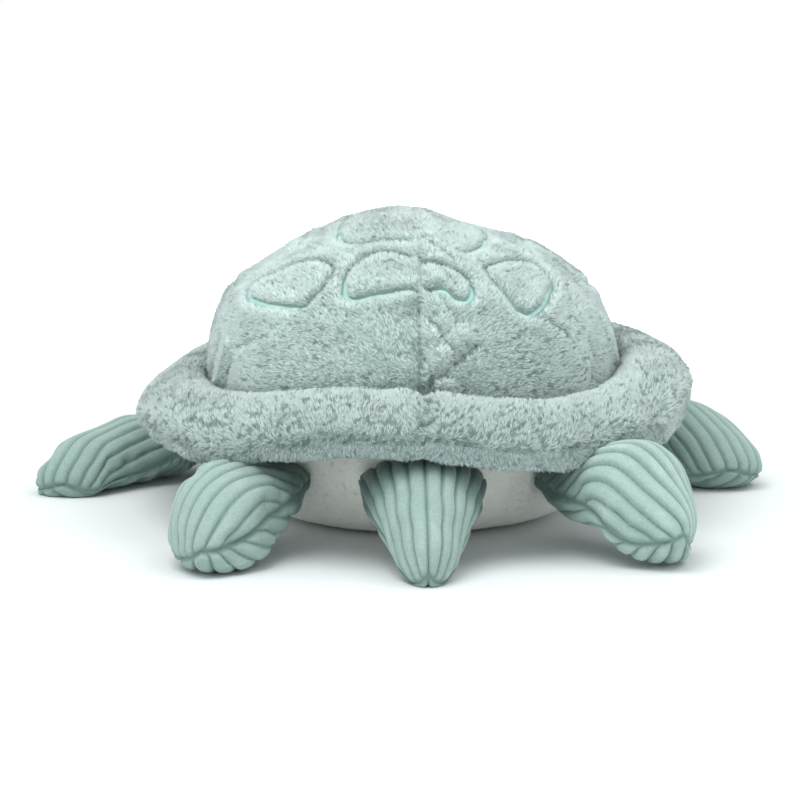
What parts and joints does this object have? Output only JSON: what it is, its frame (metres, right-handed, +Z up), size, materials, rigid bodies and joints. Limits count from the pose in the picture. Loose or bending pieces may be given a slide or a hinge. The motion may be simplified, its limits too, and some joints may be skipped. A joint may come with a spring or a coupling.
{
  "type": "plush sea turtle",
  "caption": "Soft toy sea turtle with a domed furry shell and padded brim, pale belly, ribbed corduroy flippers and tail, and a round head; flippers, tail and head flex at their seams.",
  "frame": {"origin": "centre of the flat underside of the belly, where the toy stands", "axes": "+Z up, +Y towards the head, +X towards the turtle's right-hand side"},
  "size_m": [0.3436, 0.4009, 0.136],
  "materials": {
    "shell_fur": "short dense clumped fur pile, mint",
    "limb_cord": "wide-ribbed velvety corduroy, mint",
    "belly_plush": "smooth short-pile plush, cream",
    "scute_satin": "dense satin stitch, light mint",
    "fibre_filling": "loose fibre stuffing, white",
    "eye_black": "polished black",
    "washer_plastic": "plain moulded"
  },
  "bodies": {
    "torso": {"dome_cover_left": "shell_fur", "brim_top_panel_left": "shell_fur", "brim_under_panel_left": "shell_fur", "brim_filling_left": "fibre_filling", "scute_outline_rear_left": "scute_satin", "scute_outline_side_left": "scute_satin", "scute_outline_front_left": "scute_satin", "scute_outline_middle_rear_left": "scute_satin", "scute_outline_middle_top_left": "scute_satin", "scute_outline_middle_front_left": "scute_satin", "dome_cover_right": "shell_fur", "brim_top_panel_right": "shell_fur", "brim_under_panel_right": "shell_fur", "brim_filling_right": "fibre_filling", "scute_outline_rear_right": "scute_satin", "scute_outline_side_right": "scute_satin", "scute_outline_front_right": "scute_satin", "scute_outline_middle_rear_right": "scute_satin", "scute_outline_middle_top_right": "scute_satin", "scute_outline_middle_front_right": "scute_satin", "belly_panel": "belly_plush", "body_filling": "fibre_filling"},
    "front_flipper_left": {"front_flipper_left_top_panel": "limb_cord", "front_flipper_left_under_panel": "limb_cord", "front_flipper_left_filling": "fibre_filling"},
    "front_flipper_right": {"front_flipper_right_top_panel": "limb_cord", "front_flipper_right_under_panel": "limb_cord", "front_flipper_right_filling": "fibre_filling"},
    "rear_flipper_left": {"rear_flipper_left_top_panel": "limb_cord", "rear_flipper_left_under_panel": "limb_cord", "rear_flipper_left_filling": "fibre_filling"},
    "rear_flipper_right": {"rear_flipper_right_top_panel": "limb_cord", "rear_flipper_right_under_panel": "limb_cord", "rear_flipper_right_filling": "fibre_filling"},
    "tail": {"tail_top_panel": "limb_cord", "tail_under_panel": "limb_cord", "tail_filling": "fibre_filling"},
    "head": {"head_left_panel": "limb_cord", "head_right_panel": "limb_cord", "head_filling": "fibre_filling", "eye_left": "eye_black", "eye_left_washer": "washer_plastic", "eye_right": "eye_black", "eye_right_washer": "washer_plastic"}
  },
  "joints": [
    {"name": "front_flipper_right_flap", "type": "hinge", "parent": "torso", "child": "front_flipper_right", "pos_m": [0.07631, 0.06852, 0.0225], "axis": [0.5582, -0.8297, 0], "range_deg": [-35, 16], "stiffness_Nm_per_rad": 0.08, "springref_deg": 4.01},
    {"name": "front_flipper_left_flap", "type": "hinge", "parent": "torso", "child": "front_flipper_left", "pos_m": [-0.07631, 0.06852, 0.0225], "axis": [0.5582, 0.8297, 0], "range_deg": [-35, 16], "stiffness_Nm_per_rad": 0.08, "springref_deg": 4.01},
    {"name": "rear_flipper_right_flap", "type": "hinge", "parent": "torso", "child": "rear_flipper_right", "pos_m": [0.06527, -0.08573, 0.028], "axis": [-0.7038, -0.7104, 0], "range_deg": [-30, 5], "stiffness_Nm_per_rad": 0.08, "springref_deg": 1.72},
    {"name": "rear_flipper_left_flap", "type": "hinge", "parent": "torso", "child": "rear_flipper_left", "pos_m": [-0.06527, -0.08573, 0.028], "axis": [-0.7038, 0.7104, 0], "range_deg": [-30, 5], "stiffness_Nm_per_rad": 0.08, "springref_deg": 1.72},
    {"name": "tail_flap", "type": "hinge", "parent": "torso", "child": "tail", "pos_m": [0, -0.1154, 0.03], "axis": [-1, 0, 0], "range_deg": [-30, 8], "stiffness_Nm_per_rad": 0.05, "springref_deg": 1.15},
    {"name": "head_nod", "type": "hinge", "parent": "torso", "child": "head", "pos_m": [0, 0.12027, 0.024], "axis": [1, 0, 0], "range_deg": [-20, 8], "stiffness_Nm_per_rad": 0.25, "springref_deg": 2.29}
  ]
}
